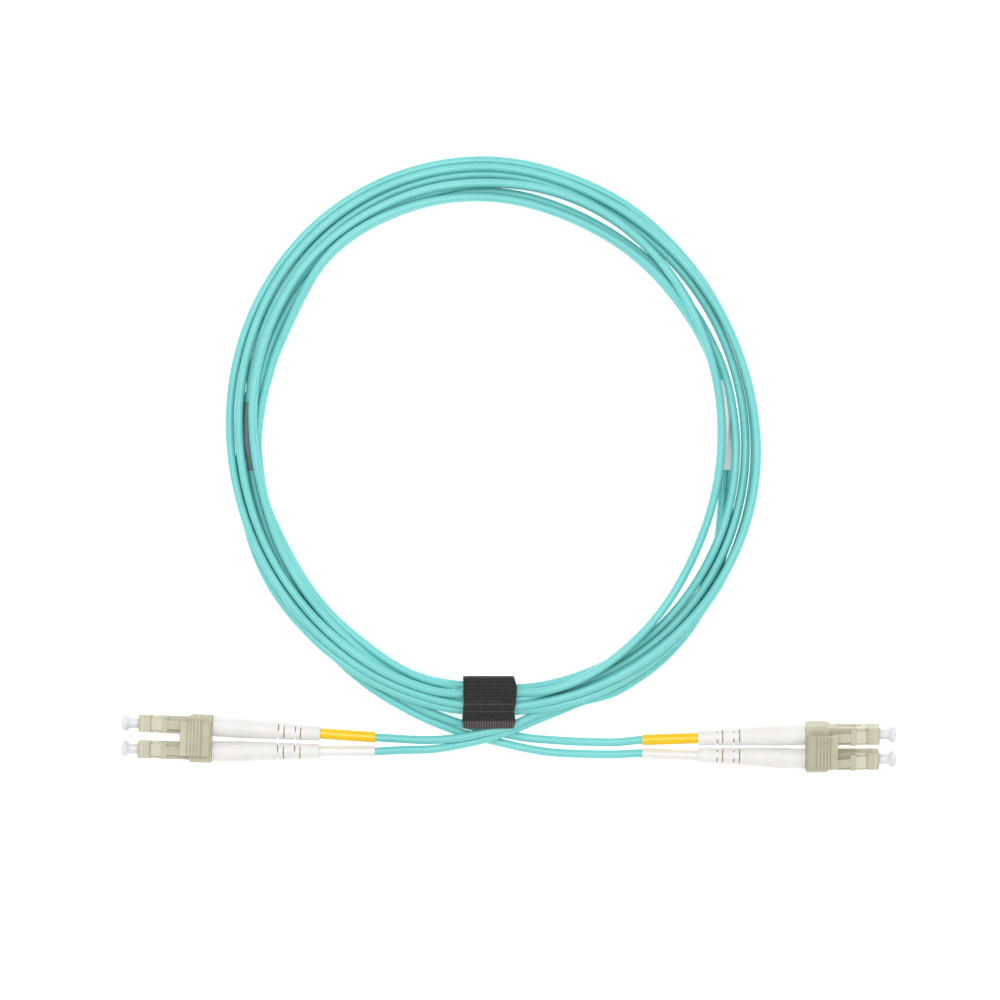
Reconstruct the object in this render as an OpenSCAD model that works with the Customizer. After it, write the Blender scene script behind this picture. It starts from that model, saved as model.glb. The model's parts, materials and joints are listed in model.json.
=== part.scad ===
// Duplex fibre optic patch cord, coiled and tied, with a two-plug connector on each end.
// The origin is the middle of the tie's underside, on the surface the cord lies on.
// The coil lies towards +Y, end A's plugs point to -X and end B's plugs point to +X.

/* [Plug] */
// Centre distance between the two plugs of a connector
pitch = 6.25; // [6.0:0.05:6.5]
// Width and height of a plug's housing
housing_w = 4.2; // [4.15:0.05:4.4]
// Length of a plug's housing
housing_len = 17; // [16.5:0.1:17]
// Diameter of the ceramic ferrule
ferrule_d = 1.25; // [1.2:0.01:1.25]
// Length of the ceramic ferrule
ferrule_len = 6.5; // [6.4:0.1:6.8]
// How far the ferrule stands out of the housing
ferrule_reach = 1.0; // [0.8:0.1:1.1]
// Travel of the spring-loaded ferrule
ferrule_travel = 1.0; // [0.5:0.1:1.0]

/* [Clip] */
// Distance from the plugs' front faces to the clip's rear face
plug_reach = 17.9; // [17.9:0.1:18.2]
// Width of the duplex clip
clip_w = 11.6; // [11.4:0.1:12]
// Length of the duplex clip
clip_len = 5.7; // [5.4:0.1:5.7]
// Width of the finger trigger over the two latches
trigger_w = 8.4; // [7.6:0.1:9]

/* [Boot] */
// Length of the strain relief boot
boot_len = 26; // [24:0.5:28]
// Diameter of the boot at the clip
boot_head_d = 5; // [4.6:0.1:5]
// Diameter of the boot at the cord
boot_tail_d = 3.6; // [3.4:0.1:4]
// Angle by which each boot leans towards its neighbour
boot_toe = 2; // [0:0.5:2]
// Length of the coloured marker sleeve behind the boot
marker_len = 13.4; // [10:0.2:13.6]

/* [Cord] */
// Diameter of each leg of the cord
leg_d = 2; // [1.6:0.1:2]
// Radius of the coil, to the middle of its bundle
coil_r = 62.3; // [62:0.1:62.6]
// Width of the coil's bundle
bundle_w = 8.4; // [8.2:0.1:8.6]
// Height of the coil's bundle
bundle_h = 6.2; // [6:0.1:6.6]

/* [Tie] */
// Width of the hook-and-loop tie along the bundle
tie_w = 11.2; // [10:0.2:11.2]
// Thickness of the tie
tie_t = 0.8; // [0.6:0.1:0.8]

/* [Lie of the ends] */
// Turn of end A away from -X
yaw_a = 2; // [1.5:0.1:2.5]
// Roll of end B onto its edge
roll_b = 14; // [13:0.5:15]

/* [Hidden] */
$fn = 48;
PLUGS = ["a1", "a2", "b1", "b2"];
PLUG_KINDS = ["housing", "latch", "ferrule", "flange", "spring", "fibre", "rear_body", "crimp",
              "boot", "cap", "marker", "lead"];

beige = "#c9c3a4";
aqua = "#3fcfc4";
eps = 0.01;

// Housing and its bores, with x = 0 at the front face and the rest at negative x
front_chamfer = 0.25;
front_bore_r = 1.45;
front_bore_len = 3.2;
wall_bore_r = 0.75;
wall_len = 0.7;
cavity_r = 1.65;
groove_depth = 0.18;

// Ferrule collar, spring and fibre
collar_r = 1.45;
collar_front = front_bore_len + wall_len + 0.05;
collar_len = 2.45;
spring_r = 1.2;
spring_wire_r = 0.14;
spring_turns = 6;
fibre_r = 0.45;
fibre_end = 21.5;

// Rear body and crimp sleeve
seat_front = 10.9;
tube_r = 1.6;
fibre_bore_r = 0.62;
rear_flange_w = 4;
barrel_r = 1.15;
barrel_end = 22.5;
crimp_r = 1.5;
crimp_front = 18.2;

// Latch lever: hinge, arm and locking ears
latch_x = -3.3;
latch_pin_r = 0.35;
latch_gap = 0.05;
arm_w = 2.1;
ramp_w = 2.9;
ear_w = 3.9;
latch_tip = 11.6;

// Clip, its trigger and the trigger's hinge
clip_drop = 2.5;
clip_top = 3.3;
clip_edge = 0.8;
channel_gap = 0.05;
lip = 0.25;
trigger_front = 10.3;
trigger_rear = 17.5;
trigger_z = 4.9;
trigger_hinge_s = 16.9;
trigger_hinge_z = 4.5;
trigger_pin_r = 0.5;
trigger_gap = 0.05;
post_half = 0.8;
ridges = 5;
ridge_x = -15.1;
ridge_step = 0.8;
ridge_w = 0.3;

// Boot, measured from the point it leans about
toe_s = 21;
boot_in = 0.15;
boot_front = 3;
boot_cavity_r = 1.75;
boot_cavity_end = -4.2;
boot_bore_r = 1;
boot_step = 0.06;
slot_w = 0.3;
slot_core_r = 1.45;
bridge_w = 1.5;
marker_r = 1.32;
straight_len = 37.5;

// Cap: a tube over the ferrule with a flared head
cap_shaft_r = 1.25;
cap_bore_r = 0.66;
cap_in = 2.6;
cap_neck = 2.1;
cap_out = 4.1;
cap_head_r = 2.05;

// Coil, tie and labels
bundle_z = tie_t;
bundle_round = 1.2;
tie_angle = tie_w / coil_r * 180 / PI;
label_t = 0.12;
label_angle = 22;

// Where each end lies: the middle of its clip's rear face
end_b_z = clip_w / 2 * sin(roll_b) + clip_drop * cos(roll_b);
END_POS = [[-68, -9.8, clip_drop], [75.6, -11.7, end_b_z]];
END_YAW = [180 - yaw_a, 0];
END_ROLL = [0, roll_b];

// Routes of the four legs from their marker sleeves to the coil, in millimetres
ROUTES = [
    [[-22.5, -9.85, 2.6], [-17.5, -10.1, 3], [-12.8, -10, 3.5], [-8, -9.5, 4.15], [-3.1, -8.45, 4.5],
     [1.7, -7.3, 4.65], [4.1, -6.65, 4.6], [6.5, -5.75, 4.2], [9, -4.6, 3.65], [11.4, -3.55, 3.15],
     [13.8, -2.7, 2.85], [16.2, -1.9, 2.9]],
    [[-22.5, -12.6, 2.6], [-17.5, -12.5, 2.9], [-12.8, -12.15, 3], [-8, -11.25, 3.05], [-3.1, -10.2, 3.1],
     [1.7, -8.75, 3.1], [4.1, -7.95, 2.95], [6.5, -7, 2.55], [9, -6, 2], [11.4, -5, 1.5],
     [13.8, -4.05, 1.2], [16.2, -3.1, 1.1], [18.6, -2.1, 1.05], [21, -1.1, 1]],
    [[30, -10.6, 3.9], [25, -10.6, 3.2], [20, -10.5, 2.4], [14, -10.15, 1.4], [9, -9.75, 1.05],
     [6.5, -9.4, 1], [1.7, -8.45, 1], [-3.1, -7.4, 1.05], [-5.6, -6.75, 1.2], [-8, -6.1, 1.6],
     [-10.4, -5.3, 1.95], [-12.8, -4.4, 2.15], [-15.2, -3.45, 2.2], [-17.7, -2.35, 2.15],
     [-22.5, 0.45, 1.75]],
    [[30, -13.6, 2.9], [25, -13.6, 2.2], [18, -13.45, 1.3], [11.4, -12.85, 1], [4.8, -11.55, 1],
     [-1.4, -10.05, 1], [-5.6, -9, 1], [-9.2, -7.9, 1], [-12.8, -6.5, 1], [-17.7, -4.45, 1],
     [-22.5, -1.9, 1], [-27.4, 1, 1.1], [-33, 5.1, 1.2]]
];

// Plug number: 0 and 1 are end A, 2 and 3 are end B, and the first of each lies towards +Y
function end_of(i) = floor(i / 2);
function side_of(i) = (i % 2 == 0 ? 1 : -1) * (end_of(i) == 0 ? -1 : 1);
function rolled(p, a) = [p.x, p.y * cos(a) - p.z * sin(a), p.y * sin(a) + p.z * cos(a)];
function turned(p, a) = [p.x * cos(a) - p.y * sin(a), p.x * sin(a) + p.y * cos(a), p.z];
function end_point(e, p) = END_POS[e] + turned(rolled(p, END_ROLL[e]), END_YAW[e]);

// A point on a boot's axis, a given distance behind the point that the boot leans about
function boot_point(i, back) = end_point(end_of(i), [
    plug_reach - toe_s - back * cos(boot_toe),
    side_of(i) * (pitch / 2 - boot_in - back * sin(boot_toe)), 0]);

// Vectors and rings of a swept tube
function unit(v) = v / norm(v);
function heading(path, k) = unit(path[min(k + 1, len(path) - 1)] - path[max(k - 1, 0)]);
function ring(centre, dir, r, sides, up) =
    let (u = unit(cross(up, dir)), v = cross(dir, u))
    [for (j = [0 : sides - 1]) centre + r * (cos(360 * j / sides) * u + sin(360 * j / sides) * v)];

module sweep(path, r, sides, up = [0, 0, 1]) {
    n = len(path);
    points = [for (k = [0 : n - 1]) each ring(path[k], heading(path, k), r, sides, up)];
    walls = [for (k = [0 : n - 2]) for (j = [0 : sides - 1])
        let (a = k * sides + j, b = k * sides + (j + 1) % sides)
        each [[a, a + sides, b], [b, a + sides, b + sides]]];
    first = [for (j = [0 : sides - 1]) j];
    last = [for (j = [sides - 1 : -1 : 0]) (n - 1) * sides + j];
    polyhedron(points, concat(walls, [first, last]));
}

// Placing and extruding helpers
module at_end(e) translate(END_POS[e]) rotate([END_ROLL[e], 0, END_YAW[e]]) children();
module at_plug(i) at_end(end_of(i)) translate([plug_reach, side_of(i) * pitch / 2, 0]) children();
module at_boot(i) at_plug(i) translate([-toe_s, -side_of(i) * boot_in, 0])
    rotate([0, 0, side_of(i) * boot_toe]) children();
module side_plate(w) rotate([90, 0, 0]) linear_extrude(w, center = true) children();
module rod_x(x0, x1, r) translate([x0, 0, 0]) rotate([0, 90, 0]) cylinder(r = r, h = x1 - x0);
module rod_y(x, z, r, w) translate([x, 0, z]) rotate([90, 0, 0]) cylinder(r = r, h = w, center = true);
module block(x0, x1, w, z0, z1) translate([x0, -w / 2, z0]) cube([x1 - x0, w, z1 - z0]);
module lathe_x() rotate([0, 90, 0]) rotate_extrude() children();

// Outline of a bar whose front corners are chamfered
module chamfered_bar(w, l, c) {
    polygon([[-l, -w / 2], [-c, -w / 2], [0, -w / 2 + c], [0, w / 2 - c], [-c, w / 2], [-l, w / 2]]);
}

// Rounded rectangle with true arcs, from corner to corner
module rounded_box(x0, x1, z0, z1, r) {
    translate([x0 + r, z0]) square([x1 - x0 - 2 * r, z1 - z0]);
    translate([x0, z0 + r]) square([x1 - x0, z1 - z0 - 2 * r]);
    for (x = [x0 + r, x1 - r]) for (z = [z0 + r, z1 - r]) translate([x, z]) circle(r);
}

// Coil, tie and labels, turned about the coil's centre from the tie at -90 degrees
module about_coil(from, angle) {
    translate([0, coil_r, 0]) rotate([0, 0, from]) rotate_extrude(angle = angle) children();
}

module bundle_section() {
    rounded_box(coil_r - bundle_w / 2, coil_r + bundle_w / 2, bundle_z, bundle_z + bundle_h, bundle_round);
}

module coil() color(aqua) about_coil(0, 360) bundle_section();

module tie() color("#1d1d1f") about_coil(-90 - tie_angle / 2, tie_angle) difference() {
    rounded_box(coil_r - bundle_w / 2 - tie_t, coil_r + bundle_w / 2 + tie_t,
                0, bundle_z + bundle_h + tie_t, bundle_round + tie_t);
    bundle_section();
}

// Label on the coil's inner side, and label on its top
module label_a() color("white") about_coil(-7, label_angle) {
    translate([coil_r - bundle_w / 2 - label_t, bundle_z + bundle_round + 0.1])
        square([label_t, bundle_h - 2 * bundle_round - 0.2]);
}

module label_b() color("white") about_coil(165, label_angle) {
    translate([coil_r - bundle_w / 2 + bundle_round + 0.1, bundle_z + bundle_h]) square([2.8, label_t]);
}

// Plug pieces
module housing() color(beige) difference() {
    intersection() {
        side_plate(housing_w) chamfered_bar(housing_w, housing_len, front_chamfer);
        translate([0, 0, -housing_w / 2]) linear_extrude(housing_w)
            chamfered_bar(housing_w, housing_len, front_chamfer);
    }
    rod_x(-front_bore_len, eps, front_bore_r);
    rod_x(-front_bore_len - wall_len - eps, -front_bore_len + eps, wall_bore_r);
    rod_x(-housing_len - eps, -front_bore_len - wall_len, cavity_r);
    rod_y(latch_x, housing_w / 2, latch_pin_r + latch_gap, housing_w + 1);
    for (s = [-1, 1]) translate([-10.5, s * housing_w / 2 - groove_depth, -1]) cube([6, 2 * groove_depth, 2]);
}

module latch() color(beige) {
    z0 = housing_w / 2;
    rod_y(latch_x, z0, latch_pin_r, ramp_w);
    side_plate(ramp_w) polygon([[-3.02, z0 + 0.07], [-3.3, z0 + 0.3], [-5.8, z0 + 1.15],
                                [-5.9, z0 + 0.6], [-3.6, z0 + 0.09]]);
    side_plate(ear_w) polygon([[-5.8, z0 + 0.62], [-5.8, z0 + 1.2], [-7.1, z0 + 1.5], [-7.1, z0 + 0.88]]);
    side_plate(arm_w) polygon([[-3.3, z0 + 0.05], [-3.3, z0 + 0.3], [-7.2, z0 + 1.45],
                               [-latch_tip, z0 + 2.46], [-latch_tip, z0 + 1.67], [-3.6, z0 + 0.09]]);
}

module ferrule() color("white") difference() {
    rod_x(ferrule_reach - ferrule_len, ferrule_reach, ferrule_d / 2);
    rod_x(ferrule_reach - ferrule_len - eps, ferrule_reach - ferrule_len + 1, 0.3);
}

module flange() color("silver") difference() {
    rod_x(-collar_front - collar_len, -collar_front, collar_r);
    rod_x(-collar_front - collar_len - eps, -collar_front + eps, ferrule_d / 2);
    for (a = [0, 90]) rotate([a, 0, 0])
        translate([-collar_front - 0.6, -0.25, collar_r - 0.3]) cube([1, 0.5, 1]);
}

module spring() color("gray") {
    steps = spring_turns * 10;
    x0 = -collar_front - collar_len - spring_wire_r;
    x1 = -seat_front + spring_wire_r;
    sweep([for (k = [0 : steps]) let (t = k / steps, a = 360 * spring_turns * t)
        [x0 + (x1 - x0) * t, spring_r * cos(a), spring_r * sin(a)]], spring_wire_r, 6, [1, 0, 0]);
}

module fibre() color("ivory") rod_x(-fibre_end, ferrule_reach - ferrule_len, fibre_r);

module rear_body() color("silver") difference() {
    union() {
        rod_x(-housing_len, -seat_front, tube_r);
        block(-housing_len - 0.85, -housing_len, rear_flange_w, -rear_flange_w / 2, rear_flange_w / 2);
        rod_x(-barrel_end, -housing_len, barrel_r);
    }
    rod_x(-barrel_end - eps, -seat_front + eps, fibre_bore_r);
}

module crimp() color("silver") difference() {
    rod_x(-barrel_end, -crimp_front, crimp_r);
    rod_x(-barrel_end - eps, -crimp_front + eps, barrel_r);
}

module cap() color("#eef0f2") difference() {
    lathe_x() polygon([[0, -cap_in], [cap_shaft_r, -cap_in], [cap_shaft_r, cap_neck - 0.3],
                       [cap_shaft_r + 0.15, cap_neck + 0.1], [cap_head_r - 0.2, cap_neck + 0.55],
                       [cap_head_r, cap_neck + 0.9], [cap_head_r, cap_out - 0.6],
                       [cap_head_r - 0.4, cap_out - 0.1], [cap_head_r - 0.9, cap_out], [0, cap_out]]);
    rod_x(-cap_in - eps, ferrule_reach + 0.4, cap_bore_r);
}

// Duplex clip: a block with an open channel for each plug, and a post for the trigger's hinge
module clip() color(beige) {
    difference() {
        union() {
            intersection() {
                rotate([90, 0, 90]) linear_extrude(clip_len)
                    polygon([[-clip_w / 2, -clip_drop], [clip_w / 2, -clip_drop],
                             [clip_w / 2, clip_top - clip_edge], [clip_w / 2 - clip_edge, clip_top],
                             [clip_edge - clip_w / 2, clip_top], [-clip_w / 2, clip_top - clip_edge]]);
                translate([clip_len, 0, -clip_drop]) linear_extrude(clip_top + clip_drop)
                    chamfered_bar(clip_w, clip_len, clip_edge);
            }
            block(plug_reach - trigger_hinge_s - post_half, plug_reach - trigger_hinge_s + post_half,
                  trigger_w, clip_top - eps, trigger_hinge_z);
        }
        for (s = [-1, 1]) translate([0, s * pitch / 2, 0])
            block(-eps, clip_len + eps, housing_w + 2 * channel_gap, -clip_drop - eps,
                  housing_w / 2 + channel_gap);
        rod_y(plug_reach - trigger_hinge_s, trigger_hinge_z, trigger_pin_r + trigger_gap, trigger_w + 1);
    }
    for (s = [-1, 1]) for (t = [-1, 1])
        translate([0, s * pitch / 2 + t * (housing_w / 2 + channel_gap), 0])
            block(0, clip_len, 2 * lip, -clip_drop, -clip_drop + lip);
}

module trigger() color(beige) translate([plug_reach, 0, 0]) {
    side_plate(trigger_w) polygon([[-trigger_rear, trigger_z], [-trigger_rear, trigger_z + 0.8],
                                   [-trigger_rear + 0.2, trigger_z + 0.95], [-15.7, trigger_z + 0.95],
                                   [-15.4, trigger_z + 0.7], [-trigger_front - 0.25, trigger_z + 0.7],
                                   [-trigger_front, trigger_z + 0.45], [-trigger_front, trigger_z]]);
    for (k = [0 : ridges - 1])
        block(ridge_x + ridge_step * k, ridge_x + ridge_step * k + ridge_w, trigger_w,
              trigger_z + 0.6, trigger_z + 0.95);
    block(-trigger_hinge_s - trigger_pin_r / 2, -trigger_hinge_s + trigger_pin_r / 2, trigger_w,
          trigger_hinge_z, trigger_z + eps);
    rod_y(-trigger_hinge_s, trigger_hinge_z, trigger_pin_r, trigger_w);
}

// Ring cut through a boot's skin, apart from two bridges
module flex_slot(x, angle) translate([x, 0, 0]) rotate([angle, 0, 0]) difference() {
    rod_x(-slot_w / 2, slot_w / 2, boot_head_d);
    rod_x(-slot_w, slot_w, slot_core_r);
    block(-slot_w, slot_w, 3 * boot_head_d, -bridge_w / 2, bridge_w / 2);
}

// Boot, with its slots turned about its axis
module boot(turn) color("#f1f1ec") difference() {
    tail = boot_front - boot_len;
    lathe_x() polygon([[0, tail], [boot_tail_d / 2 - 0.15, tail], [boot_tail_d / 2, tail + 0.15],
                       [boot_head_d / 2 - boot_step, -5], [boot_head_d / 2, -5],
                       [boot_head_d / 2, boot_front], [0, boot_front]]);
    rod_x(boot_cavity_end, boot_front + eps, boot_cavity_r);
    rod_x(tail - eps, boot_cavity_end + eps, boot_bore_r);
    for (x = [-12.9, -17]) flex_slot(x, 65 + turn);
    for (x = [-14.3, -18.3]) flex_slot(x, 155 + turn);
}

module marker(i) color(i % 2 == 0 ? "#f7cf12" : "#f4f4f0") {
    tail = boot_front - boot_len;
    difference() {
        rod_x(tail - marker_len, tail, marker_r);
        rod_x(tail - marker_len - eps, tail + eps, leg_d / 2);
    }
}

// One leg of the cord, from its plug's crimp to the coil
module lead(i) color(aqua) {
    start = barrel_end - toe_s + 0.2;
    straight = [for (k = [0 : 4]) boot_point(i, start + (straight_len - start) * k / 4)];
    sweep(concat(straight, ROUTES[i]), leg_d / 2, 8);
}

coil();
tie();
label_a();
label_b();
at_end(0) clip();  // a_clip
at_end(0) trigger();  // a_trigger
at_end(1) clip();  // b_clip
at_end(1) trigger();  // b_trigger
for (i = [0 : 3]) {
    at_plug(i) housing();
    at_plug(i) latch();
    at_plug(i) ferrule();
    at_plug(i) flange();
    at_plug(i) spring();
    at_plug(i) fibre();
    at_plug(i) rear_body();
    at_plug(i) crimp();
    at_boot(i) boot(90 * end_of(i));
    at_plug(i) cap();
    at_boot(i) marker(i);
    lead(i);
}
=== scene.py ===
"""Looks of a coiled duplex fibre patch cord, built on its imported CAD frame.

Everything is in metres, in the frame's axes. The tie holds the coil at the origin, and angles
round the coil are in degrees from the tie, towards +X. A cord is a pair of legs: leg 1 joins
plugs a1 and b1, leg 2 joins a2 and b2.
"""

import itertools
import json
import math

import bmesh
import bpy
import numpy as np
from mathutils import Euler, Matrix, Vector


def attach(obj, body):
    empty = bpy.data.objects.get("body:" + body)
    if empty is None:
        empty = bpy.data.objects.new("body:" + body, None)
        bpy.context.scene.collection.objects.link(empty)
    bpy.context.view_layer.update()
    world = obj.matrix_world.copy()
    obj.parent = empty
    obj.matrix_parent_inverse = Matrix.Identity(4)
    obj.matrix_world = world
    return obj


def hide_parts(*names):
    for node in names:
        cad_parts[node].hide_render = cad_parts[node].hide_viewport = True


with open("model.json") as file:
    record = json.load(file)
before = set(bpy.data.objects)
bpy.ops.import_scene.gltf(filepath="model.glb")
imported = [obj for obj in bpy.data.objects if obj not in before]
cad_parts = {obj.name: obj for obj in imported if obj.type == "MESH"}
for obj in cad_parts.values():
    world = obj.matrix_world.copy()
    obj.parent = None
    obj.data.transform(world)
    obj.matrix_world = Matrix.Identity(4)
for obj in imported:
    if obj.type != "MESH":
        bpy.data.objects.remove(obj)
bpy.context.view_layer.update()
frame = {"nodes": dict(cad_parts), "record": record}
nodes = frame["nodes"]

# Cord
LEG_D = 0.002
LEG_STEP = 0.0025
RING_R = 0.0623
TURNS = 6
STATIONS = 72
STEP_DEG = 360 / STATIONS
KEYS_PER_TURN = 18
HEIGHTS_PER_TURN = 6
STRANDS = 2 * TURNS
# Plugs at the first and the last end of each leg
LEG_PLUGS = (("a1", "b1"), ("a2", "b2"))

# Where each end lies, as in the CAD: clip's rear face, turn about Z and roll about the plugs' line
END_POS = {"a": (-0.0680, -0.0098, 0.0025), "b": (0.0756, -0.0117, 0.003829)}
END_YAW = {"a": 178, "b": 0}
END_ROLL = {"a": 0, "b": 14}
PLUG_SIDE = {"a1": -1, "a2": 1, "b1": 1, "b2": -1}
PITCH = 0.00625
TOE_X = -0.0031
TOE_DEG = 2
BOOT_IN = 0.00015
STRAIGHT = (0.0017, 0.0375)
# Within this radius of a boot's axis, the slots' bottoms are painted tan as shade
SLOT_SHADE_RADIUS = 0.0016
# The plug's nose, and behind it the stretches of its painted rim highlight and of the window before its
# latch
PLUG_REACH = 0.0179
NOSE_RIM_HIGHLIGHT = (-0.0011, -0.0009)
LATCH_WINDOW = (-0.0057, -0.0034)
# A trigger's rear edge, and from it the stretch and step of its ridges
TRIGGER_REAR = 0.0004
RIDGES = (0.0022, 0.0060)
RIDGE_STEP = 0.0008

# Routes of the four legs from their marker sleeves to the coil
ROUTES = {
    "a1": [(-0.0225, -0.00985, 0.0026), (-0.0175, -0.0101, 0.0030), (-0.0128, -0.0100, 0.0035),
           (-0.0080, -0.0095, 0.00415), (-0.0031, -0.00845, 0.0045), (0.0017, -0.0073, 0.00465),
           (0.0041, -0.00665, 0.0046), (0.0065, -0.00575, 0.0042), (0.0090, -0.0046, 0.00365),
           (0.0114, -0.00355, 0.00315), (0.0138, -0.0027, 0.00285), (0.0162, -0.0019, 0.0029)],
    "a2": [(-0.0225, -0.0126, 0.0026), (-0.0175, -0.0125, 0.0029), (-0.0128, -0.01215, 0.0030),
           (-0.0080, -0.01125, 0.00305), (-0.0031, -0.0102, 0.0031), (0.0017, -0.00875, 0.0031),
           (0.0041, -0.00795, 0.00295), (0.0065, -0.0070, 0.00255), (0.0090, -0.0060, 0.0020),
           (0.0114, -0.0050, 0.0015), (0.0138, -0.00405, 0.0012), (0.0162, -0.0031, 0.0011),
           (0.0186, -0.0021, 0.00105), (0.0210, -0.0011, 0.0010)],
    "b1": [(0.0300, -0.0106, 0.0039), (0.0250, -0.0106, 0.0032), (0.0200, -0.0105, 0.0024),
           (0.0140, -0.01015, 0.0014), (0.0090, -0.00975, 0.00105), (0.0065, -0.0094, 0.0010),
           (0.0017, -0.00845, 0.0010), (-0.0031, -0.0074, 0.00105), (-0.0056, -0.00675, 0.0012),
           (-0.0080, -0.0061, 0.0016), (-0.0104, -0.0053, 0.00195), (-0.0128, -0.0044, 0.00215),
           (-0.0152, -0.00345, 0.0022), (-0.0177, -0.00235, 0.00215), (-0.0225, 0.00045, 0.00175)],
    "b2": [(0.0300, -0.0136, 0.0029), (0.0250, -0.0136, 0.0022), (0.0180, -0.01345, 0.0013),
           (0.0114, -0.01285, 0.0010), (0.0048, -0.01155, 0.0010), (-0.0014, -0.01005, 0.0010),
           (-0.0056, -0.0090, 0.0010), (-0.0092, -0.0079, 0.0010), (-0.0128, -0.0065, 0.0010),
           (-0.0177, -0.00445, 0.0010), (-0.0225, -0.0019, 0.0010), (-0.0274, 0.0010, 0.0011),
           (-0.0330, 0.0051, 0.0012)],
}

# How far each turn of the coil lies outside RING_R, in millimetres, every 20 degrees from the tie.
# The radii were read off the photograph by eye, and a scratch script turned them into millimetres.
TURN_KEYS_MM = [
    [5.2, 4.6, 3.7, -0.1, -4.9, -5.5, -5.5, -5.7, -5.3, -3.5, -2.3, -2.1, -5.4, -5.5, -4.9, -4.2, -3, -1.9],
    [-1.5, -1.5, -1.7, -2.5, -3.2, -3.9, -4.9, -5, -3.9, -1.9, -1.5, -2.1, -3.6, -3.5, -1, 0.9, 2.1, 2.9],
    [3.4, 3.5, 3.1, 2.3, 1.5, 0.9, 1.1, 2.1, 3.8, 5.6, 5.9, 5.3, 3.9, 2.1, 0.7, 0.4, 0.7, 1.3],
    [1.9, 2.1, 2.2, 2.2, 1.9, 1, 0.7, 1, 2.2, 4, 4.5, 3.9, 2, -0.2, -1.6, -1.8, -1.4, -0.4],
    [0, -0.8, -3.7, -6.4, -7.2, -6.7, -5.2, -2.6, -0.6, 0, -0.2, -0.4, -1.5, -3.5, -5.2, -5.3, -3.9, -1.9],
    [-0.8, -0.1, 0.3, -0.2, -0.9, -1.3, -1.2, -0.6, 0.6, 2.3, 2.6, 1.7, -0.1, -2.4, -3.1, -2.7, 0.8, 4.6],
]
LAST_KEY_MM = 6.9
# Height of each turn in millimetres before it settles, every 60 degrees from the tie
TURN_HEIGHT_MM = [
    [1.5, 1.5, 5, 5, 2, 2],
    [2, 4, 2, 2, 1.5, 4],
    [4, 3, 4, 4, 4, 5.5],
    [6, 6, 4, 6, 6, 6.5],
    [9, 9, 9, 9, 9, 9],
    [5, 7, 7, 7, 3, 1.2],
]
LAST_HEIGHT_MM = 1.0
# Stretches where a pair leans, as its first and last angle and how far it leans from upright
LEAN_STRETCHES = [(-60, 4, 90), (14, 34, 25), (52, 82, 90), (622, 660, 90), (1635, 1665, -35),
                  (1740, 1790, -35), (2085, 2300, 90)]
LEAN_EASE = 14

# Inside of the tie, as room for the coil
TIE_ROOM = ((0.0581, 0.0665), (0.0008, 0.0070))
TIE_DEG = 7
TIE_EASE = 2.2

# The strap: its course round the bundle in the Y-Z plane, its edges and its knit, in millimetres
STRAP_COURSE_MM = [(2.6, 7.28), (0, 7.33), (-2.8, 7.3), (-4.1, 6.8), (-4.65, 5.6), (-4.7, 3.6), (-4.5, 1.7),
                   (-3.6, 0.7), (-2.2, 0.42), (0, 0.4), (2.4, 0.4), (3.9, 0.65), (4.85, 1.6), (5.1, 3.4),
                   (5.2, 5.6), (4.95, 6.9), (4.1, 7.65), (2.8, 7.92), (0.8, 8), (-1.4, 7.98), (-3.2, 7.8),
                   (-4.7, 7.3), (-5.9, 6.65), (-7.1, 6.05)]
STRAP_T_MM = 0.6
STRAP_STEP_MM = 0.1
STRAP_COLUMNS = 112
STRAP_EDGES_MM = {"y": [-7.2, -5.5, -3, -1, 2.8, 5.8], "left": [-7.05, -7.4, -7.2, -7.1, -7.15, -7.15],
                  "right": [5.0, 5.35, 5.1, 5.5, 5.8, 4.8]}
STRAP_CELL_MM = 0.8
STRAP_RIBS_MM = [(-1.3, 0.45), (-3.1, 0.25)]
STRAP_END_MM = 2.2
# Where the cut end's comb fades out, in shares of STRAP_END_MM
CUT_END = (0.8, 1.1)
# How far its ribs and cut end are tinted lighter brown, its fray, knit depth and thinner edges, and a
# bead's share of a cell
RIB_TINT, END_TINT = 0.45, 0.7
FRAY_MM = 0.09
STRAP_KNIT_MM = 0.07
STRAP_EDGE_MM = 0.12
STRAP_EDGE_RATE = 40
BEAD_SHARE = 0.75

# Labels: first and last angle on the whole coil, and how thick the paper is
LABELS = {"label_a": (83, 105), "label_b": (2061, 2077)}
LABEL_T = 0.00012
LABEL_SIDES = 12
LABEL_STEP_DEG = 1.0

# Settling: per step, how far a leg sinks, its pull to its turn's radius, its stiffness in radius and
# in height, and how readily two legs push each other apart in radius and in height
SETTLE_STEPS = 900
SINK = 0.000012
RADIAL_PULL = 0.15
STIFFNESS = np.array((0.10, 0.30))
PUSH = np.array((0.4, 1.0))
# Rounds of pushing in each step, and the share of an overlap that one round takes away
PRESS_ROUNDS = 3
PRESS_SHARE = 0.6


# ------------------------------------------------------------------ camera, light and floor
def make_camera():
    centre = (0.0017, 0.048)
    height = 1.404
    reach = 1.4
    picture = 0.242
    data = bpy.data.cameras.new("camera")
    data.sensor_width = 36
    data.lens = data.sensor_width * reach / picture
    data.clip_start, data.clip_end = 0.01, 20
    camera = bpy.data.objects.new("camera", data)
    camera.location = (*centre, height)
    bpy.context.scene.collection.objects.link(camera)
    bpy.context.scene.camera = camera


def area_light(name, location, size, power, target=(0, 0.05, 0)):
    data = bpy.data.lights.new(name, "AREA")
    data.shape = "DISK"
    data.size = size
    data.energy = power
    light = bpy.data.objects.new(name, data)
    light.location = location
    aim = Vector(target) - Vector(location)
    light.rotation_euler = aim.to_track_quat("-Z", "Y").to_euler()
    bpy.context.scene.collection.objects.link(light)


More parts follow.
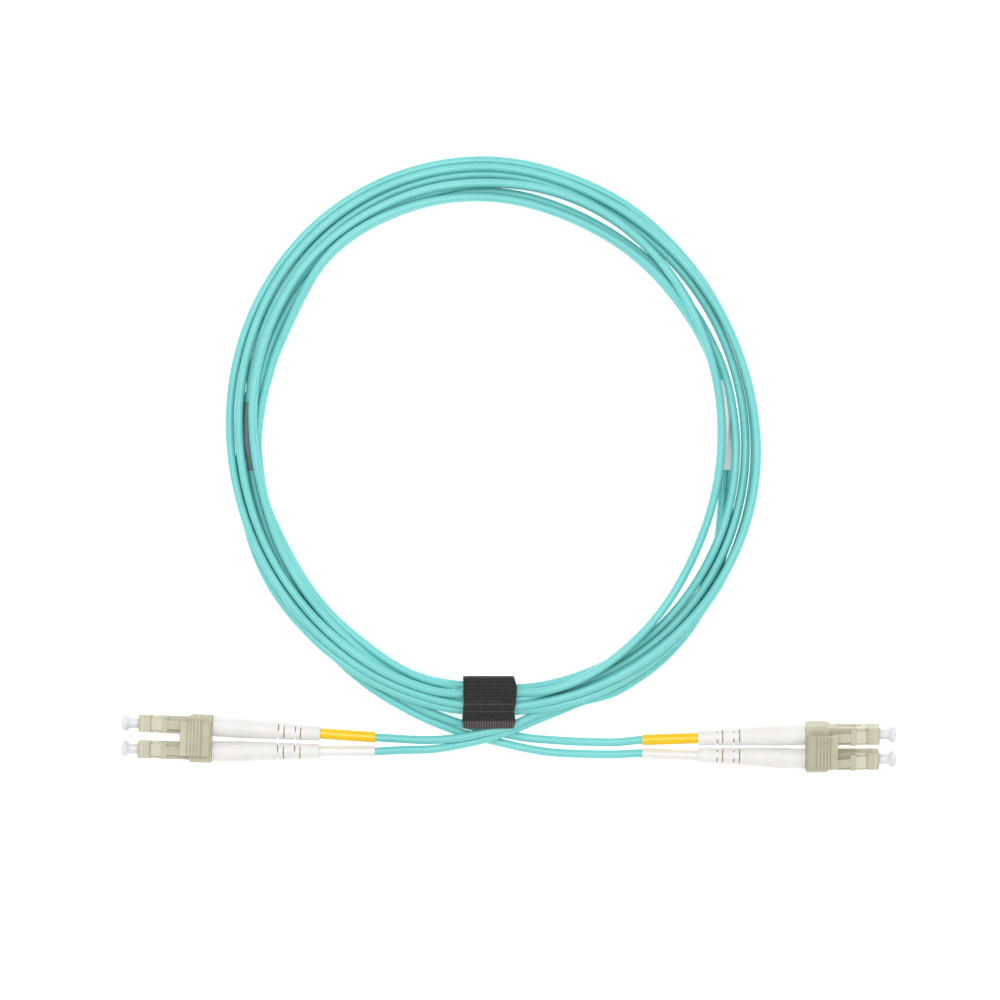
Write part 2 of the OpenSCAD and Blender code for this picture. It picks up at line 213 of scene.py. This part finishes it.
def make_studio():
    scene = bpy.context.scene
    scene.view_settings.view_transform = "Standard"
    world = bpy.data.worlds.new("studio")
    world.use_nodes = True
    background = world.node_tree.nodes["Background"]
    background.inputs["Color"].default_value = (1, 1, 1, 1)
    background.inputs["Strength"].default_value = 0.6
    scene.world = world
    area_light("overhead", (0.02, 0.15, 1.5), 0.6, 7)
    area_light("key", (-0.35, 0.55, 1.1), 0.6, 3.5)
    area_light("fill", (0.6, -0.5, 0.9), 0.8, 1.5)
    mesh = bpy.data.meshes.new("floor")
    half = 3.0
    mesh.from_pydata([(-half, -half, 0), (half, -half, 0), (half, half, 0), (-half, half, 0)],
                     [], [(0, 1, 2, 3)])
    floor = bpy.data.objects.new("floor", mesh)
    scene.collection.objects.link(floor)
    floor.location.z = -0.00005
    mesh.materials.append(plain_floor())


# ------------------------------------------------------------------ materials
def srgb(r, g, b):
    """Linear colour of an sRGB one given from 0 to 255."""
    def channel(v):
        v /= 255
        return v / 12.92 if v <= 0.04045 else ((v + 0.055) / 1.055) ** 2.4
    return (channel(r), channel(g), channel(b), 1)


def new_material(name, roughness):
    material = bpy.data.materials.new(name)
    material.use_nodes = True
    shader = material.node_tree.nodes["Principled BSDF"]
    shader.inputs["Roughness"].default_value = roughness
    return material, shader


def object_point(material):
    return material.node_tree.nodes.new("ShaderNodeTexCoord").outputs["Object"]


def attribute(material, name):
    node = material.node_tree.nodes.new("ShaderNodeAttribute")
    node.attribute_name = name
    return node.outputs["Fac"]


def noise(material, scale, detail=3.0):
    """Noise over the object, with scale in features per metre."""
    node = material.node_tree.nodes.new("ShaderNodeTexNoise")
    node.inputs["Scale"].default_value = scale
    node.inputs["Detail"].default_value = detail
    material.node_tree.links.new(object_point(material), node.inputs["Vector"])
    return node.outputs["Fac"]


def ramp(material, value, stops):
    """Colour from value, by stops of (place, colour)."""
    node = material.node_tree.nodes.new("ShaderNodeValToRGB")
    elements = node.color_ramp.elements
    while len(elements) < len(stops):
        elements.new(0.5)
    for element, (place, colour) in zip(elements, stops):
        element.position = place
        element.color = colour
    material.node_tree.links.new(value, node.inputs["Fac"])
    return node.outputs["Color"]


def mix(material, kind, share, first, second):
    """Two colours mixed or multiplied. Each is an output or a colour."""
    node = material.node_tree.nodes.new("ShaderNodeMix")
    node.data_type = "RGBA"
    node.blend_type = kind
    for socket, value in ((node.inputs[0], share), (node.inputs[6], first), (node.inputs[7], second)):
        if isinstance(value, bpy.types.NodeSocket):
            material.node_tree.links.new(value, socket)
        else:
            socket.default_value = value
    return node.outputs[2]


def bump(material, shader, height, distance, strength=1.0):
    node = material.node_tree.nodes.new("ShaderNodeBump")
    node.inputs["Strength"].default_value = strength
    node.inputs["Distance"].default_value = distance
    material.node_tree.links.new(height, node.inputs["Height"])
    material.node_tree.links.new(node.outputs["Normal"], shader.inputs["Normal"])


def mottled(name, dark, light, scale, roughness, grain=None, grain_depth=0.00001):
    """A moulded or extruded finish: two close colours in soft patches, under a fine grain."""
    material, shader = new_material(name, roughness)
    colour = ramp(material, noise(material, scale), [(0.3, dark), (0.7, light)])
    material.node_tree.links.new(colour, shader.inputs["Base Color"])
    bump(material, shader, noise(material, grain or scale * 6), grain_depth)
    return material, shader


def plain_floor():
    """Pale paper that glows a little, so that shadows on it stay faint."""
    material, shader = mottled("floor_paper", srgb(240, 240, 240), srgb(244, 244, 244), 6, 0.9)
    shader.inputs["Emission Color"].default_value = (1, 1, 1, 1)
    shader.inputs["Emission Strength"].default_value = 0.6
    return material


def aqua_jacket():
    material, shader = mottled("aqua_jacket", srgb(114, 202, 199), srgb(126, 211, 208), 55, 0.36,
                               grain=1800, grain_depth=0.000012)
    shader.inputs["Subsurface Weight"].default_value = 0.15
    shader.inputs["Subsurface Scale"].default_value = 0.0006
    shader.inputs["Subsurface Radius"].default_value = (0.6, 1.0, 0.9)
    shader.inputs["Specular IOR Level"].default_value = 0.45
    return material


def beige_plastic(name="beige_plastic"):
    material, shader = mottled(name, srgb(186, 182, 158), srgb(196, 192, 168), 260, 0.42,
                               grain=7000, grain_depth=0.000006)
    shader.inputs["Subsurface Weight"].default_value = 0.1
    shader.inputs["Subsurface Scale"].default_value = 0.0004
    return material, shader


def at_end(material, end, x, y=0, turn=0):
    """Position from a point of a connector's own frame, with its axes there, turned about its Z."""
    mapping = material.node_tree.nodes.new("ShaderNodeMapping")
    mapping.vector_type = "TEXTURE"
    mapping.inputs["Location"].default_value = end_point(end, (x, y, 0))
    roll, yaw = math.radians(END_ROLL[end]), math.radians(END_YAW[end])
    frame_turn = Euler((0, 0, turn)).to_matrix()
    frame_turn = Euler((roll, 0, 0)).to_matrix() @ frame_turn
    frame_turn = Euler((0, 0, yaw)).to_matrix() @ frame_turn
    mapping.inputs["Rotation"].default_value = frame_turn.to_euler()
    material.node_tree.links.new(object_point(material), mapping.inputs["Vector"])
    return mapping.outputs["Vector"]


def arithmetic(material, kind, first, second=0.0):
    node = material.node_tree.nodes.new("ShaderNodeMath")
    node.operation = kind
    for socket, value in zip(node.inputs, (first, second)):
        if isinstance(value, bpy.types.NodeSocket):
            material.node_tree.links.new(value, socket)
        else:
            socket.default_value = value
    return node.outputs["Value"]


def split(material, vector):
    node = material.node_tree.nodes.new("ShaderNodeSeparateXYZ")
    material.node_tree.links.new(vector, node.inputs["Vector"])
    return node.outputs


def boot_slotted(plug):
    """Boot skin, with painted shade: tan where a slot cuts down to the core."""
    material, shader = boot_white("boot_white_" + plug)
    colour = shader.inputs["Base Color"].links[0].from_socket
    side = PLUG_SIDE[plug]
    turn = side * math.radians(TOE_DEG)
    place = split(material, at_end(material, plug[0], TOE_X, side * (PITCH / 2 - BOOT_IN), turn))
    square = arithmetic(material, "ADD", arithmetic(material, "MULTIPLY", place["Y"], place["Y"]),
                        arithmetic(material, "MULTIPLY", place["Z"], place["Z"]))
    slot_shade = arithmetic(material, "LESS_THAN", square, SLOT_SHADE_RADIUS ** 2)
    # Painted shade: the bottoms of the slots are coloured tan
    colour = mix(material, "MIX", slot_shade, colour, srgb(203, 177, 132))
    material.node_tree.links.new(colour, shader.inputs["Base Color"])
    return material


def ridged_plastic(end):
    """Trigger plastic, with painted shade as dark lines between its ridges and a plain, slightly greener
    rear.
    """
    material, shader = beige_plastic("beige_ridged_" + end)
    colour = shader.inputs["Base Color"].links[0].from_socket
    along = split(material, at_end(material, end, TRIGGER_REAR))["X"]
    # Painted shade: dark stripes between the ridges stand for the shade in their grooves
    stripe = arithmetic(material, "FRACT", arithmetic(material, "DIVIDE", along, RIDGE_STEP))
    groove_shade = arithmetic(material, "GREATER_THAN", stripe, 0.5)
    ridged = arithmetic(material, "GREATER_THAN", along, RIDGES[0])
    ridged = arithmetic(material, "MULTIPLY", ridged, arithmetic(material, "LESS_THAN", along, RIDGES[1]))
    groove_shade = arithmetic(material, "MULTIPLY", groove_shade, ridged)
    rear = arithmetic(material, "LESS_THAN", along, RIDGES[0])
    colour = mix(material, "MULTIPLY", arithmetic(material, "MULTIPLY", groove_shade, 0.8), colour,
                 (0.74, 0.75, 0.73, 1))
    colour = mix(material, "MULTIPLY", rear, colour, (0.86, 0.88, 0.83, 1))
    material.node_tree.links.new(colour, shader.inputs["Base Color"])
    return material


def plug_plastic(plug):
    """Housing plastic, with a painted highlight on the rim behind its nose and a paler window in front of
    its latch.
    """
    material, shader = beige_plastic("beige_plug_" + plug)
    colour = shader.inputs["Base Color"].links[0].from_socket
    side = PLUG_SIDE[plug]
    along = split(material, at_end(material, plug[0], PLUG_REACH, side * PITCH / 2))["X"]
    # Painted highlight: the rim behind the nose is mixed towards a pale beige; the window before the latch
    # is made paler too
    for (rear, front), pale in ((NOSE_RIM_HIGHLIGHT, 0.5), (LATCH_WINDOW, 0.45)):
        band = arithmetic(material, "MULTIPLY", arithmetic(material, "GREATER_THAN", along, rear),
                          arithmetic(material, "LESS_THAN", along, front))
        colour = mix(material, "MIX", arithmetic(material, "MULTIPLY", band, pale), colour,
                     srgb(226, 224, 210))
    material.node_tree.links.new(colour, shader.inputs["Base Color"])
    return material


def boot_white(name="boot_white"):
    material, shader = mottled(name, srgb(226, 225, 222), srgb(232, 231, 228), 180, 0.5,
                               grain=5000, grain_depth=0.000006)
    shader.inputs["Subsurface Weight"].default_value = 0.3
    shader.inputs["Subsurface Scale"].default_value = 0.001
    return material, shader


def cap_clear():
    material, shader = mottled("cap_clear", srgb(228, 230, 234), srgb(236, 238, 241), 400, 0.32,
                               grain=3000, grain_depth=0.000008)
    shader.inputs["Transmission Weight"].default_value = 0.15
    shader.inputs["IOR"].default_value = 1.49
    shader.inputs["Subsurface Weight"].default_value = 0.2
    shader.inputs["Subsurface Scale"].default_value = 0.001
    return material


def sleeve(name, dark, light):
    material, shader = mottled(name, dark, light, 420, 0.34, grain=2500, grain_depth=0.00002)
    shader.inputs["Coat Weight"].default_value = 0.15
    return material


def ceramic():
    material, _ = mottled("ceramic_white", srgb(238, 238, 234), srgb(244, 244, 241), 900, 0.12)
    return material


def metal(name, dark, light, roughness, scale):
    material, shader = mottled(name, dark, light, scale, roughness, grain_depth=0.000004)
    shader.inputs["Metallic"].default_value = 1
    return material


def buffer_white():
    material, _ = mottled("buffer_white", srgb(236, 234, 222), srgb(243, 241, 230), 700, 0.35)
    return material


def label_paper(name, dark, light):
    material, _ = mottled(name, dark, light, 300, 0.6, grain=9000, grain_depth=0.000006)
    return material


def tie_fabric():
    """Black knitted loop face in fine cells, with painted shade in their hollows and painted highlight on
    their beads, brown-black on its ribs and at the cut end.
    """
    material, shader = new_material("tie_black", 0.8)
    tree = material.node_tree
    fibres = ramp(material, noise(material, 2600, 5), [(0.3, srgb(12, 13, 17)), (0.75, srgb(50, 50, 53))])
    brown_tint = attribute(material, "brown_tint")
    cells = attribute(material, "cells")
    warm = mix(material, "MIX", brown_tint, fibres, srgb(84, 78, 76))
    # Painted shade and highlight: the colour darkens where the knit is low and brightens on its beads
    colour = mix(material, "MULTIPLY", 0.75, warm, ramp(material, cells, [(0.0, (0, 0, 0, 1)),
                                                                        (1.0, (2, 2, 2, 1))]))
    tree.links.new(colour, shader.inputs["Base Color"])
    shader.inputs["Sheen Weight"].default_value = 0.08
    shader.inputs["Sheen Roughness"].default_value = 0.5
    bump(material, shader, noise(material, 5200, 4), 0.00006)
    return material


def make_materials():
    return {
        "aqua_jacket": aqua_jacket(),
        "beige_plastic": beige_plastic()[0],
        "boot_white": boot_white()[0],
        "cap_clear": cap_clear(),
        "marker_yellow": sleeve("marker_yellow", srgb(240, 194, 0), srgb(245, 201, 2)),
        "marker_white": sleeve("marker_white", srgb(226, 225, 221), srgb(233, 232, 228)),
        "ceramic_white": ceramic(),
        "nickel": metal("nickel", srgb(186, 182, 172), srgb(206, 202, 194), 0.28, 1200),
        "spring_steel": metal("spring_steel", srgb(160, 160, 164), srgb(186, 186, 190), 0.24, 2500),
        "buffer_white": buffer_white(),
        "tie_black": tie_fabric(),
        "label_a": label_paper("label_white", srgb(232, 236, 240), srgb(243, 245, 247)),
        # Painted shade: label_b is paper coloured dark grey-teal for the shade its neighbouring legs cast
        "label_b": label_paper("label_painted_shade", srgb(104, 122, 124), srgb(118, 136, 138)),
    }


# ------------------------------------------------------------------ cord
def smooth_step(start, end, x):
    t = np.clip((x - start) / (end - start), 0, 1)
    return t * t * (3 - 2 * t)


def through(values, x):
    """Smooth curve through values at 0, 1, 2 and so on, read at x."""
    values = np.asarray(values, float)
    k = np.clip(np.floor(x).astype(int), 0, len(values) - 2)
    t = x - k
    a, b, c, d = (values[np.clip(k + step, 0, len(values) - 1)] for step in (-1, 0, 1, 2))
    return b + 0.5 * t * (c - a + t * (2 * a - 5 * b + 4 * c - d + t * (3 * (b - c) + d - a)))


def end_point(end, point):
    """A point of a connector's own frame, which starts at its clip's rear face, in the row frame."""
    x, y, z = point
    roll, yaw = math.radians(END_ROLL[end]), math.radians(END_YAW[end])
    y, z = y * math.cos(roll) - z * math.sin(roll), y * math.sin(roll) + z * math.cos(roll)
    x, y = x * math.cos(yaw) - y * math.sin(yaw), x * math.sin(yaw) + y * math.cos(yaw)
    return np.array(END_POS[end]) + (x, y, z)


def boot_line(plug):
    """Points along a boot's axis, from its crimp to behind its marker sleeve."""
    toe = math.radians(TOE_DEG)
    return [end_point(plug[0], (TOE_X - back * math.cos(toe),
                                PLUG_SIDE[plug] * (PITCH / 2 - BOOT_IN - back * math.sin(toe)), 0))
            for back in np.linspace(*STRAIGHT, 5)]


def round_ring(points):
    """Angle in degrees from the tie, radius and height of points of the row frame."""
    p = np.array(points)
    angle = np.degrees(np.arctan2(p[:, 0], RING_R - p[:, 1]))
    return angle, np.hypot(p[:, 0], RING_R - p[:, 1]), p[:, 2]


def on_ring(angle, radius, height):
    a = np.radians(angle)
    return np.stack([radius * np.sin(a), RING_R - radius * np.cos(a), height], -1)


def pinned(plug, angle, first_turn):
    """Stations of a leg that its route fixes: which, and their radius and height."""
    route_angle, radius, height = round_ring(ROUTES[plug])
    order = np.argsort(route_angle)
    route_angle, radius, height = route_angle[order], radius[order], height[order]
    local = angle if first_turn else angle - 360 * TURNS
    fixed = local <= route_angle[-1] if first_turn else local >= route_angle[0]
    return fixed, np.stack([np.interp(local, route_angle, radius),
                            np.interp(local, route_angle, height)], -1)


def pair_course(angle):
    """Both legs where the turns want them, before they settle, as an array [leg, station, 2]."""
    keys = [k for row in TURN_KEYS_MM for k in row] + [LAST_KEY_MM]
    radius = RING_R + 0.001 * through(keys, angle / (360 / KEYS_PER_TURN))
    lean = np.zeros_like(angle)
    for start, end, degrees in LEAN_STRETCHES:
        lean += (math.radians(degrees) * smooth_step(start - LEAN_EASE, start, angle)
                 * (1 - smooth_step(end, end + LEAN_EASE, angle)))
    heights = [h for row in TURN_HEIGHT_MM for h in row] + [LAST_HEIGHT_MM]
    height = 0.001 * through(heights, angle / (360 / HEIGHTS_PER_TURN))
    offset = 0.5 * LEG_D * np.stack([-np.sin(lean), np.cos(lean)], -1)
    centre = np.stack([radius, height], -1)
    return np.stack([centre + offset, centre - offset])


def pin_ends(angle, place):
    """Which stations of each leg lie on its fixed routes, and where they are held."""
    fixed = np.zeros((2, len(angle)), bool)
    held = place.copy()
    for leg, plugs in enumerate(LEG_PLUGS):
        for plug, first_turn in zip(plugs, (True, False)):
            near = angle < 180 if first_turn else angle > 360 * TURNS - 180
            mask, values = pinned(plug, angle, first_turn)
            mask &= near
            fixed[leg] |= mask
            held[leg][mask] = values[mask]
    return fixed, held


def leg_pairs():
    """Every two strands of a station, whether they are one pair's legs, and each one's share of a push."""
    pairs = np.array(list(itertools.combinations(range(STRANDS), 2)))
    bonded = pairs[:, 1] - pairs[:, 0] == TURNS
    share = np.zeros((len(pairs), STRANDS))
    share[np.arange(len(pairs)), pairs[:, 0]] = -0.5
    share[np.arange(len(pairs)), pairs[:, 1]] = 0.5
    return pairs, bonded, share


def press_apart(place, pairs, bonded, share):
    """Legs that overlap at a station push each other away, and a pair's legs keep touching."""
    grid = place[:, :-1].reshape(STRANDS, STATIONS, 2)
    gap = grid[pairs[:, 1]] - grid[pairs[:, 0]]
    distance = np.maximum(np.linalg.norm(gap, axis=2, keepdims=True), 1e-6)
    push = LEG_D - distance
    push = np.where(bonded[:, None, None], push, np.maximum(push, 0))
    push = push * gap / distance * np.where(bonded[:, None, None], 1, PUSH)
    grid = grid + PRESS_SHARE * np.einsum("ps,pkc->skc", share, push)
    place[:, :-1] = grid.reshape(2, TURNS * STATIONS, 2)


def settle_coil():
    """Radius and height of both legs at each station of the coil, as an array [leg, station, 2].

    Each pair is drawn to its turn's radius while the legs sink, lean and press on each other.
    """
    angle = np.arange(TURNS * STATIONS + 1) * STEP_DEG
    place = pair_course(angle)
    goal = place[:, :, 0].copy()
    fixed, held = pin_ends(angle, place)
    pairs, bonded, share = leg_pairs()

    local = (angle + 180) % 360 - 180
    near_tie = 1 - smooth_step(TIE_DEG, TIE_EASE * TIE_DEG, np.abs(local))
    floor = 0.5 * LEG_D + TIE_ROOM[1][0] * near_tie
    in_tie = (np.abs(local) <= TIE_DEG) & (angle > 180) & (angle < 360 * TURNS - 180)
    low_r, high_r = TIE_ROOM[0][0] + 0.5 * LEG_D, TIE_ROOM[0][1] - 0.5 * LEG_D
    high_z = TIE_ROOM[1][1] - 0.5 * LEG_D

    for _ in range(SETTLE_STEPS):
        place[:, :, 1] -= SINK
        place[:, :, 0] += RADIAL_PULL * (goal - place[:, :, 0])
        middle = 0.5 * (place[:, :-2] + place[:, 2:]) - place[:, 1:-1]
        place[:, 1:-1] += STIFFNESS * middle
        for _ in range(PRESS_ROUNDS):
            press_apart(place, pairs, bonded, share)
            place[:, :, 1] = np.maximum(place[:, :, 1], floor)
            place[:, in_tie, 0] = np.clip(place[:, in_tie, 0], low_r, high_r)
            place[:, in_tie, 1] = np.minimum(place[:, in_tie, 1], high_z)
            place[fixed] = held[fixed]
    return angle, place, fixed


def smooth_line(points, spacing):
    """A natural cubic spline through points, read at an even spacing."""
    p = np.array(points)
    s = np.concatenate([[0], np.cumsum(np.linalg.norm(np.diff(p, axis=0), axis=1))])
    h = np.diff(s)
    n = len(p)
    matrix = np.zeros((n, n))
    right = np.zeros((n, 3))
    matrix[0, 0] = matrix[-1, -1] = 1
    for i in range(1, n - 1):
        matrix[i, i - 1:i + 2] = h[i - 1], 2 * (h[i - 1] + h[i]), h[i]
        right[i] = 6 * ((p[i + 1] - p[i]) / h[i] - (p[i] - p[i - 1]) / h[i - 1])
    curve = np.linalg.solve(matrix, right)
    at = np.linspace(0, s[-1], int(s[-1] / spacing) + 1)
    k = np.clip(np.searchsorted(s, at, "right") - 1, 0, n - 2)
    t, rest, hk = (at - s[k])[:, None], (s[k + 1] - at)[:, None], h[k][:, None]
    return (curve[k] * rest**3 / (6 * hk) + curve[k + 1] * t**3 / (6 * hk)
            + (p[k] / hk - curve[k] * hk / 6) * rest + (p[k + 1] / hk - curve[k + 1] * hk / 6) * t)


def leg_line(first, last, angle, stations, fixed):
    """The whole centreline of a leg, from one boot round the coil to the other."""
    free = np.flatnonzero(~fixed)
    coil = on_ring(angle[free], stations[free, 0], stations[free, 1])
    start = [*boot_line(first), *map(np.array, ROUTES[first])]
    end = [*boot_line(last), *map(np.array, ROUTES[last])]
    return smooth_line([*start, *coil[1:-1], *end[::-1]], LEG_STEP)


def make_leg(name, line, material):
    data = bpy.data.curves.new(name, "CURVE")
    data.dimensions = "3D"
    data.bevel_depth = 0.5 * LEG_D
    data.bevel_resolution = 5
    data.use_fill_caps = True
    spline = data.splines.new("POLY")
    spline.points.add(len(line) - 1)
    spline.points.foreach_set("co", np.column_stack([line, np.ones(len(line))]).ravel())
    spline.use_smooth = True
    data.materials.append(material)
    leg = bpy.data.objects.new(name, data)
    bpy.context.scene.collection.objects.link(leg)
    return leg


def make_cord(materials):
    angle, place, fixed = settle_coil()
    for leg, (first, last) in enumerate(LEG_PLUGS):
        line = leg_line(first, last, angle, place[leg], fixed[leg])
        piece = make_leg(f"leg_{leg + 1}", line, materials["aqua_jacket"])
        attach(piece, "cord")
        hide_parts("coil", f"{first}_lead", f"{last}_lead")
    return angle, place


# ------------------------------------------------------------------ tie and labels
def strap_strength(y, last_layer, to_end):
    """How far the strap is tinted lighter brown along its course: on two ribs on top and at the cut end."""
    brown_tint = np.zeros_like(y)
    for middle, half in STRAP_RIBS_MM:
        brown_tint = np.maximum(brown_tint, np.exp(-((y - middle) / half) ** 2))
    end = 1 - smooth_step(*CUT_END, to_end / STRAP_END_MM)
    return np.maximum(RIB_TINT * brown_tint * last_layer, END_TINT * end)


def strap_course():
    """The strap's course with its place along it, its outward side and its two edges, in millimetres."""
    course = smooth_line([(0, y, z) for y, z in STRAP_COURSE_MM], STRAP_STEP_MM)
    y, z = course[:, 1], course[:, 2]
    along = np.concatenate([[0], np.cumsum(np.hypot(np.diff(y), np.diff(z)))])
    outward = np.column_stack([-np.gradient(z), np.gradient(y)])
    outward /= -np.linalg.norm(outward, axis=1, keepdims=True)
    left = np.interp(y, STRAP_EDGES_MM["y"], STRAP_EDGES_MM["left"])
    right = np.interp(y, STRAP_EDGES_MM["y"], STRAP_EDGES_MM["right"])
    return y, z, along, outward, left, right


def strap_skin(y, z, along, outward, left, right):
    """Points of the strap's two faces, column by column, with how brown-tinted and how raised each is."""
    to_end = along[-1] - along
    fray = FRAY_MM * np.sin(2 * np.pi * along / (0.5 * STRAP_CELL_MM))
    brown_tint = strap_strength(y, along > 0.5 * along[-1], to_end)
    comb = 1 - smooth_step(*CUT_END, to_end / STRAP_END_MM)
    rows = 0.5 + 0.5 * np.cos(2 * np.pi * along / STRAP_CELL_MM)
    points, shades, knots = [], [], []
    for side in (1, -1):
        for t in np.arange(STRAP_COLUMNS + 1) / STRAP_COLUMNS:
            x = left + fray + (right - left - 2 * fray) * t
            beads = 0.5 + 0.5 * np.cos(2 * np.pi * x / (BEAD_SHARE * STRAP_CELL_MM))
            cells = beads * (rows * (1 - comb) + comb)
            thin = STRAP_EDGE_MM * np.exp(-min(t, 1 - t) * STRAP_EDGE_RATE)
            height = 0.5 * STRAP_T_MM + STRAP_KNIT_MM * (cells - 0.5) - thin
            points.append(np.column_stack([x, y + side * height * outward[:, 0],
                                           z + side * height * outward[:, 1]]))
            shades.append(brown_tint)
            knots.append(cells)
    return 0.001 * np.concatenate(points), np.concatenate(shades), np.concatenate(knots)


def strap_faces(n):
    """Quads of both faces and the four edges of a strap with n points in each column."""
    def corner(layer, c, k):
        return (layer + c) * n + k

    under = STRAP_COLUMNS + 1
    faces = []
    for layer in (0, under):
        for c in range(STRAP_COLUMNS):
            for k in range(n - 1):
                quad = (corner(layer, c, k), corner(layer, c, k + 1),
                        corner(layer, c + 1, k + 1), corner(layer, c + 1, k))
                faces.append(quad if layer else quad[::-1])
    for c in (0, STRAP_COLUMNS):
        for k in range(n - 1):
            quad = (corner(0, c, k), corner(0, c, k + 1),
                    corner(under, c, k + 1), corner(under, c, k))
            faces.append(quad if c == 0 else quad[::-1])
    for k in (0, n - 1):
        for c in range(STRAP_COLUMNS):
            quad = (corner(0, c, k), corner(under, c, k),
                    corner(under, c + 1, k), corner(0, c + 1, k))
            faces.append(quad if k == 0 else quad[::-1])
    return faces


def make_strap(material):
    """One strap wound once round the bundle and over its own start, with fine knitted cells."""
    y, z, along, outward, left, right = strap_course()
    vertices, brown_tint, cells = strap_skin(y, z, along, outward, left, right)
    mesh = bpy.data.meshes.new("strap")
    mesh.from_pydata(vertices.tolist(), [], strap_faces(len(y)))
    for name, values in (("brown_tint", brown_tint), ("cells", cells)):
        mesh.attributes.new(name, "FLOAT", "POINT").data.foreach_set("value", values)
    face_outward(mesh)
    mesh.shade_smooth()
    mesh.materials.append(material)
    strap = bpy.data.objects.new("strap", mesh)
    bpy.context.scene.collection.objects.link(strap)
    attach(strap, "cord")
    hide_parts("tie")


def face_outward(mesh):
    bm = bmesh.new()
    bm.from_mesh(mesh)
    bmesh.ops.remove_doubles(bm, verts=bm.verts, dist=1e-7)
    bmesh.ops.recalc_face_normals(bm, faces=bm.faces)
    bm.to_mesh(mesh)
    bm.free()


def label_sections(angle, place, stops):
    """Outline of the paper round both legs at each stop, as an array [stop, point, 3]."""
    legs = [on_ring(stops, *(np.interp(stops, angle, leg[:, k]) for k in (0, 1))) for leg in place]
    heading = np.gradient(0.5 * (legs[0] + legs[1]), axis=0)
    heading /= np.linalg.norm(heading, axis=1, keepdims=True)
    across = legs[1] - legs[0]
    across -= heading * np.sum(across * heading, axis=1, keepdims=True)
    across /= np.linalg.norm(across, axis=1, keepdims=True)
    other = np.cross(heading, across)
    reach = 0.5 * LEG_D + LABEL_T
    points = []
    for leg, start in ((1, -90), (0, 90)):
        for k in range(LABEL_SIDES + 1):
            turn = math.radians(start + 180 * k / LABEL_SIDES)
            points.append(legs[leg] + reach * (math.cos(turn) * across + math.sin(turn) * other))
    return np.stack(points, 1)


def make_label(name, angle, place, material):
    """Paper wrapped round both legs of a pair between two angles of the coil."""
    first, last = LABELS[name]
    sections = label_sections(angle, place, np.arange(first, last + 0.1, LABEL_STEP_DEG))
    rings, count = sections.shape[:2]
    faces = []
    for r in range(rings - 1):
        for k in range(count):
            a, b = r * count + k, r * count + (k + 1) % count
            faces.append((a, b, b + count, a + count))
    faces.append(tuple(range(count))[::-1])
    faces.append(tuple((rings - 1) * count + k for k in range(count)))
    mesh = bpy.data.meshes.new(name + "_wrap")
    mesh.from_pydata(sections.reshape(-1, 3).tolist(), [], faces)
    face_outward(mesh)
    mesh.materials.append(material)
    wrap = bpy.data.objects.new(name + "_wrap", mesh)
    bpy.context.scene.collection.objects.link(wrap)
    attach(wrap, "cord")
    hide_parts(name)


# ------------------------------------------------------------------ CAD nodes
def finish_nodes(materials):
    for part in frame["record"]["subparts"]:
        data = nodes[part["node"]].data
        data.materials.clear()
        data.materials.append(materials.get(part["node"]) or materials[part["material_slot"]])
    for plug in PLUG_SIDE:
        nodes[f"{plug}_boot"].data.materials[0] = boot_slotted(plug)
        nodes[f"{plug}_housing"].data.materials[0] = plug_plastic(plug)
        nodes[f"{plug}_latch"].data.materials[0] = nodes[f"{plug}_housing"].data.materials[0]
    for end in END_POS:
        nodes[f"{end}_trigger"].data.materials[0] = ridged_plastic(end)


make_camera()
materials = make_materials()
angle, place = make_cord(materials)
make_strap(materials["tie_black"])
for label in LABELS:
    make_label(label, angle, place, materials[label])
make_studio()
finish_nodes(materials)
